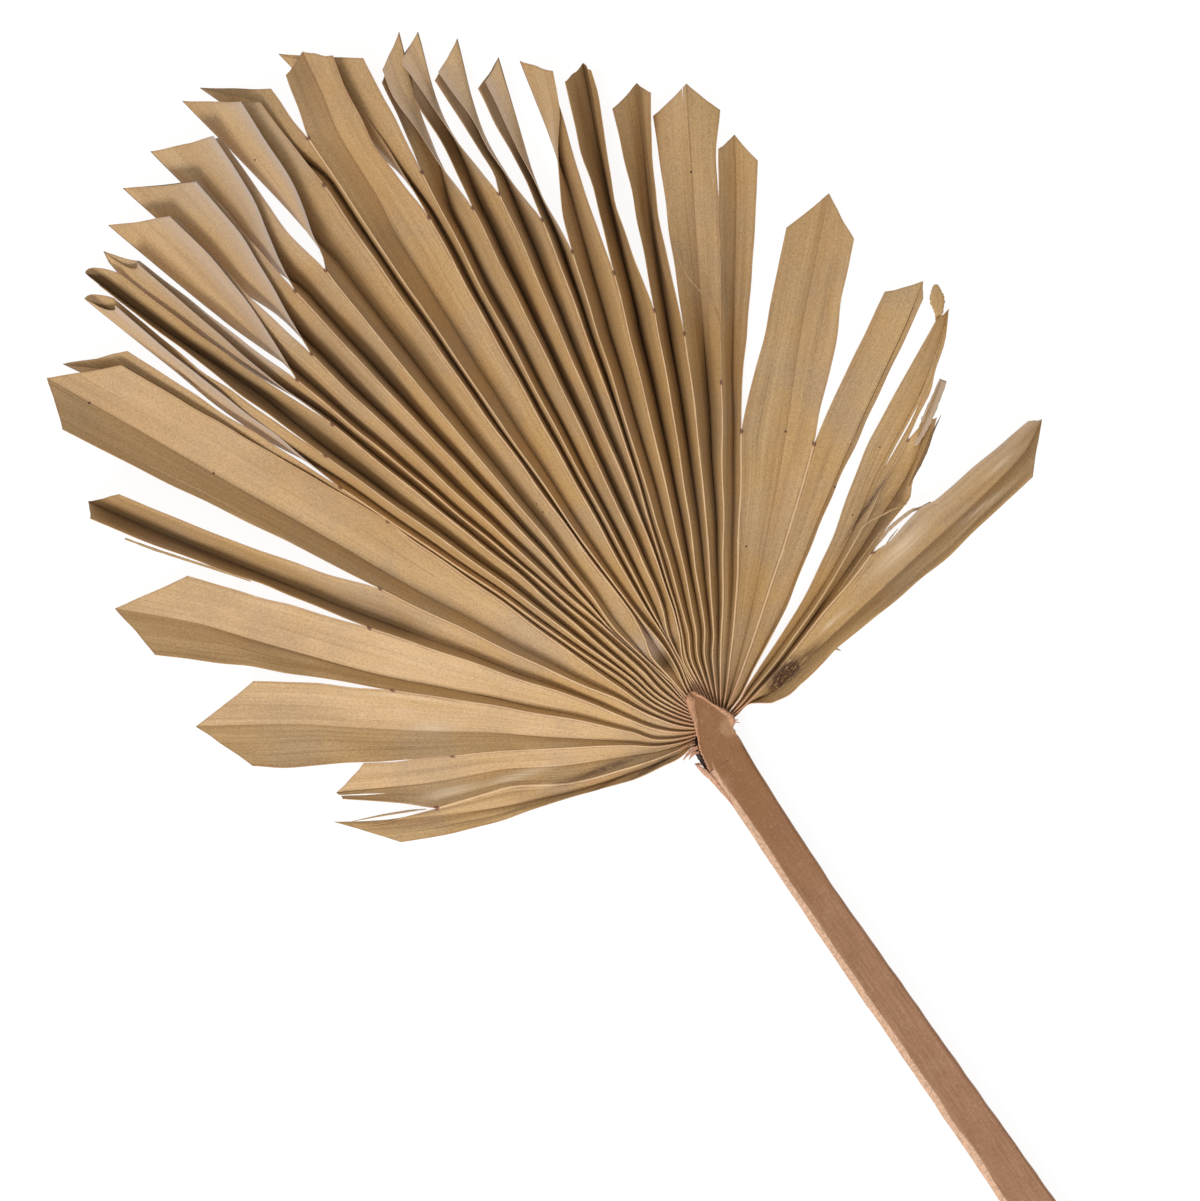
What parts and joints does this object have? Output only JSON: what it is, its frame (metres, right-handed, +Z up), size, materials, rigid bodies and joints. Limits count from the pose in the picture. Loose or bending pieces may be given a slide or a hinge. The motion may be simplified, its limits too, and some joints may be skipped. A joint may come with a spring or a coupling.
{
  "type": "fan palm leaf",
  "caption": "Dried fan palm leaf lying flat: a half-round stalk with a hastula and a pleated fan blade of joined, trimmed segments.",
  "frame": {"origin": "middle of the footprint, on the surface the leaf lies on", "axes": "+Y along the stalk towards the blade's tips, +Z up from the surface, the side with the hastula up, +X to the right"},
  "size_m": [0.336, 0.6014, 0.0192],
  "materials": {
    "stalk": "smooth dried stem, tan brown with a paler edge strip",
    "hastula": "matt, pinkish pale rim",
    "dried_leaf": "satin golden tan with fine parallel veins and reddish ridge lines"
  },
  "bodies": {
    "root": {"petiole": "stalk", "hastula": "hastula", "blade": "dried_leaf", "outer_segments": "dried_leaf"}
  },
  "joints": []
}
